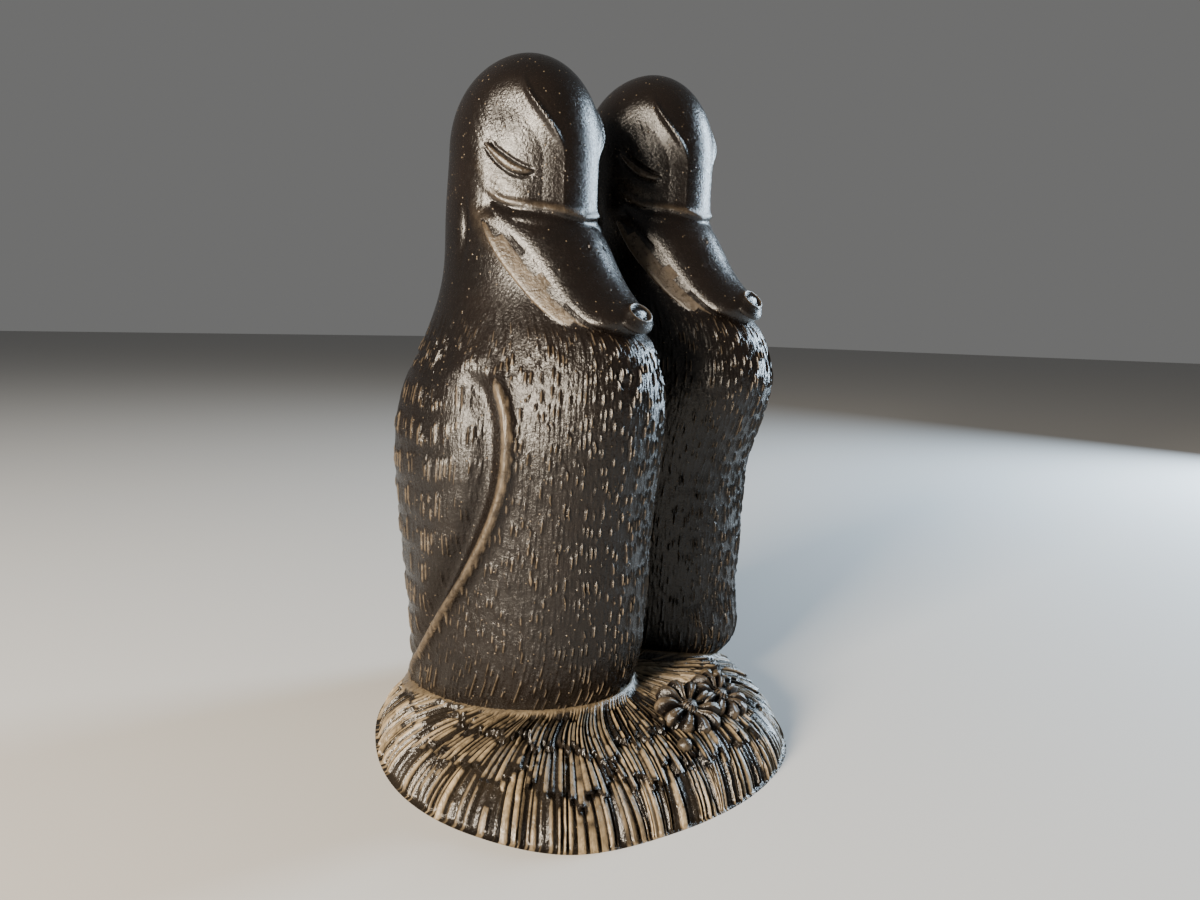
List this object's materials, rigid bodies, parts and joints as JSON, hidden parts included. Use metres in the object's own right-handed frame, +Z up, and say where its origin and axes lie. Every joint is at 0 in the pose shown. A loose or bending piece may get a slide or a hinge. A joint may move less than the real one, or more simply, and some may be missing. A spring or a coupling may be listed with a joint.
{
  "type": "bird carving",
  "caption": "Dark soapstone carving of two sleeping ducklings standing side by side on an oval mound of grass with small daisies.",
  "frame": {"origin": "middle of the carving's footprint, on the flat underside", "axes": "+Z up, the ducklings face -Y and stand side by side along X, the smaller one at -X"},
  "size_m": [0.0966, 0.0856, 0.1339],
  "materials": {
    "soapstone": "waxed, nearly black soapstone with a soft shine, paler and dusty low on the grass"
  },
  "bodies": {
    "root": {"duckling_pair_carving": "soapstone"}
  },
  "joints": []
}
